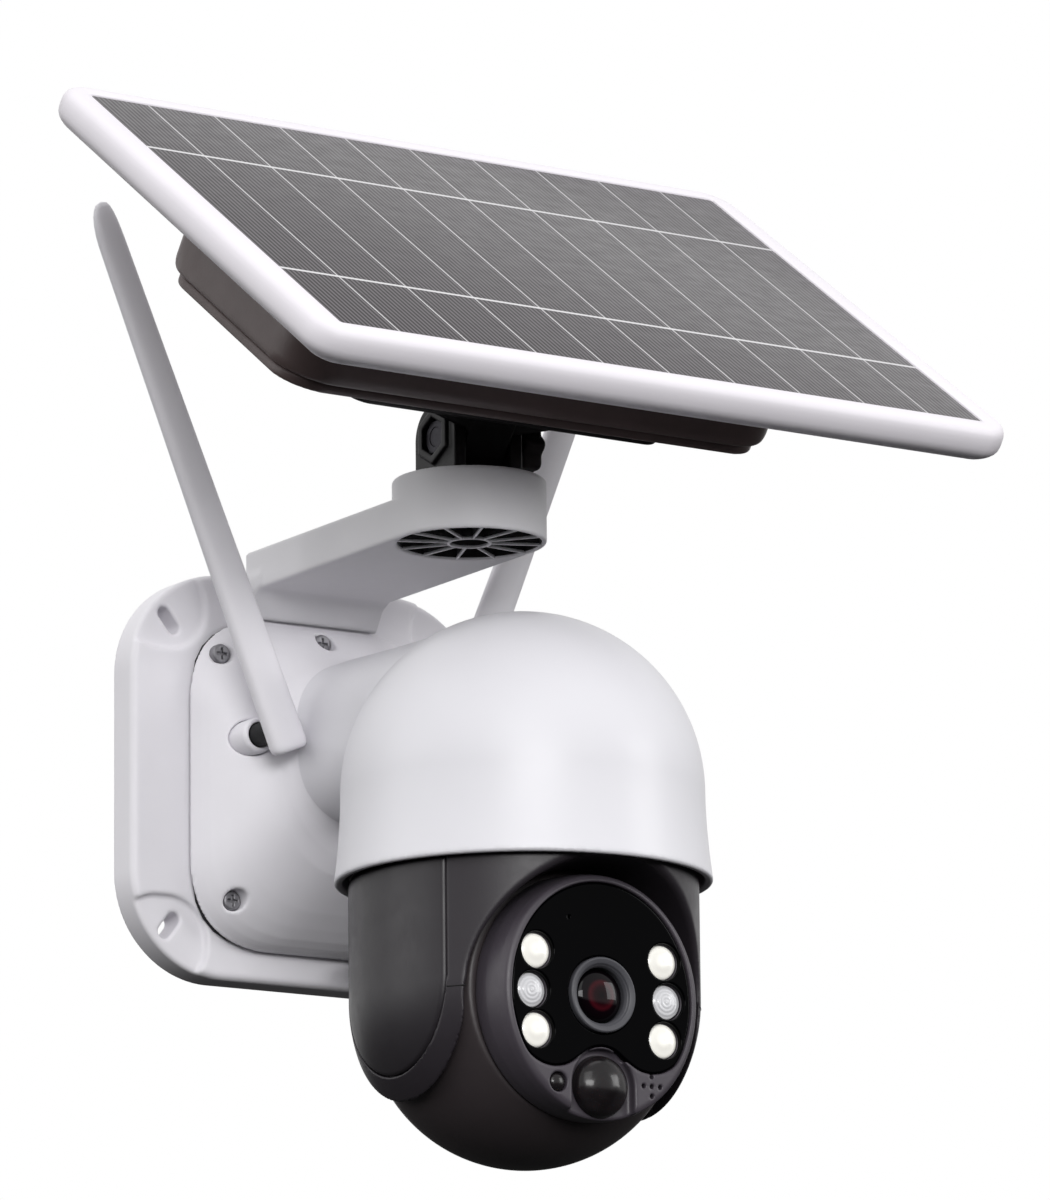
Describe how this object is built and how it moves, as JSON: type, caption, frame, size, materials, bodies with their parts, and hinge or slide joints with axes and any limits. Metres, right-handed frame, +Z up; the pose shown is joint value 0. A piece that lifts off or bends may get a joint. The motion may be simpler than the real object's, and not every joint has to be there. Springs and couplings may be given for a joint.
{
  "type": "solar-powered security camera",
  "caption": "Wall-mounted pan and tilt security camera with a white dome, a tilting solar panel on an arm above it and hinged antennas.",
  "frame": {"origin": "centre of the wall plate's flat rear face", "axes": "+X to the right seen from the front, -Y out of the wall towards the viewer, +Z up"},
  "size_m": [0.2644, 0.2307, 0.3443],
  "materials": {
    "white_shell": "smooth semi-matte moulding, slightly warm white",
    "white_gloss": "smooth glossy moulding, white",
    "charcoal": "satin moulding, charcoal grey",
    "charcoal_cover": "satin moulding, charcoal grey",
    "black_gloss": "polished black acrylic",
    "box_brown": "fine matte moulding, brown-black",
    "bracket_black": "fine matte moulding, black",
    "rubber": "matte black",
    "inner_plastic": "plain grey moulding",
    "board_green": "green solder mask",
    "steel": "bright zinc plated",
    "dark_steel": "dark nickel plated",
    "lens_ring": "satin anodised look",
    "lens_glass": "coated optical glass",
    "led_white": "milky white lens",
    "led_clear": "clear lens with rings",
    "pir_lens": "dark translucent moulding",
    "cell_glass": "dark laminated cells under a clear sheet",
    "battery_wrap": "shrink wrap"
  },
  "bodies": {
    "base": {"wall_plate": "white_shell", "housing_gasket": "rubber", "base_housing": "white_shell", "housing_screw_1": "dark_steel", "housing_screw_2": "dark_steel", "housing_screw_3": "dark_steel", "housing_screw_4": "dark_steel", "housing_screw_5": "dark_steel", "antenna_socket_left": "white_shell", "antenna_socket_right": "white_shell", "power_inlet": "rubber", "dome_shell": "white_gloss", "chassis_plate": "inner_plastic", "pan_motor": "steel", "main_board": "board_green", "solar_arm": "white_shell"},
    "pan": {"pan_body": "charcoal", "ear_cover_left": "charcoal_cover", "ear_cover_right": "charcoal_cover", "pan_gear": "inner_plastic", "tilt_motor": "steel"},
    "pinion": {"pan_pinion": "steel"},
    "ball": {"face_bezel": "charcoal", "ball_shell": "charcoal", "card_hatch": "charcoal_cover", "trunnion_left": "steel", "trunnion_right": "steel", "faceplate": "black_gloss", "lens_ring": "lens_ring", "lens_glass": "lens_glass", "white_led_1": "led_white", "infrared_led_2": "led_clear", "white_led_3": "led_white", "white_led_4": "led_white", "infrared_led_5": "led_clear", "white_led_6": "led_white", "pir_lens": "pir_lens", "light_sensor": "pir_lens", "lamp_board": "board_green", "camera_module": "dark_steel"},
    "swivel": {"panel_fork": "bracket_black", "swivel_nut": "steel", "pivot_nut": "steel"},
    "knob": {"pivot_bolt": "steel", "clamp_knob": "box_brown"},
    "panel": {"panel_foot": "bracket_black", "box_lid": "box_brown", "box_body": "box_brown", "panel_socket": "rubber", "battery_cell_1": "battery_wrap", "battery_cell_2": "battery_wrap", "battery_cell_3": "battery_wrap", "charge_board": "board_green", "panel_frame": "white_shell", "solar_cells": "cell_glass", "back_sheet": "white_shell"},
    "antenna_left": {"antenna_blade_left": "white_shell"},
    "antenna_right": {"antenna_blade_right": "white_shell"}
  },
  "joints": [
    {"name": "pan_turn", "type": "hinge", "parent": "base", "child": "pan", "pos_m": [0, -0.1405, -0.05], "axis": [0, 0, 1], "range_deg": [-175, 175]},
    {"name": "pinion_spin", "type": "hinge", "parent": "base", "child": "pinion", "pos_m": [0, -0.113, -0.0275], "axis": [0, 0, 1], "range_deg": [-700, 700]},
    {"name": "camera_tilt", "type": "hinge", "parent": "pan", "child": "ball", "pos_m": [0, -0.1405, -0.0926], "axis": [1, 0, 0], "range_deg": [0, 90]},
    {"name": "panel_swivel", "type": "hinge", "parent": "base", "child": "swivel", "pos_m": [0, -0.1107, 0.078], "axis": [0, 0, 1], "range_deg": [-10, 10]},
    {"name": "panel_tilt", "type": "hinge", "parent": "swivel", "child": "panel", "pos_m": [0, -0.1107, 0.0948], "axis": [0.9995, 0.0332, 0], "range_deg": [-6, 30]},
    {"name": "knob_turn", "type": "hinge", "parent": "swivel", "child": "knob", "pos_m": [0, -0.1107, 0.0948], "axis": [0.9995, 0.0332, 0], "range_deg": [-180, 180]},
    {"name": "antenna_left_swing", "type": "hinge", "parent": "base", "child": "antenna_left", "pos_m": [-0.032, -0.034, 0.01], "axis": [0, -1, 0], "range_deg": [-6, 77]},
    {"name": "antenna_right_swing", "type": "hinge", "parent": "base", "child": "antenna_right", "pos_m": [0.032, -0.034, 0.01], "axis": [0, 1, 0], "range_deg": [-6, 77]}
  ],
  "couplings": [
    {"joint": "pinion_spin", "follows": "pan_turn", "ratio": -4}
  ]
}
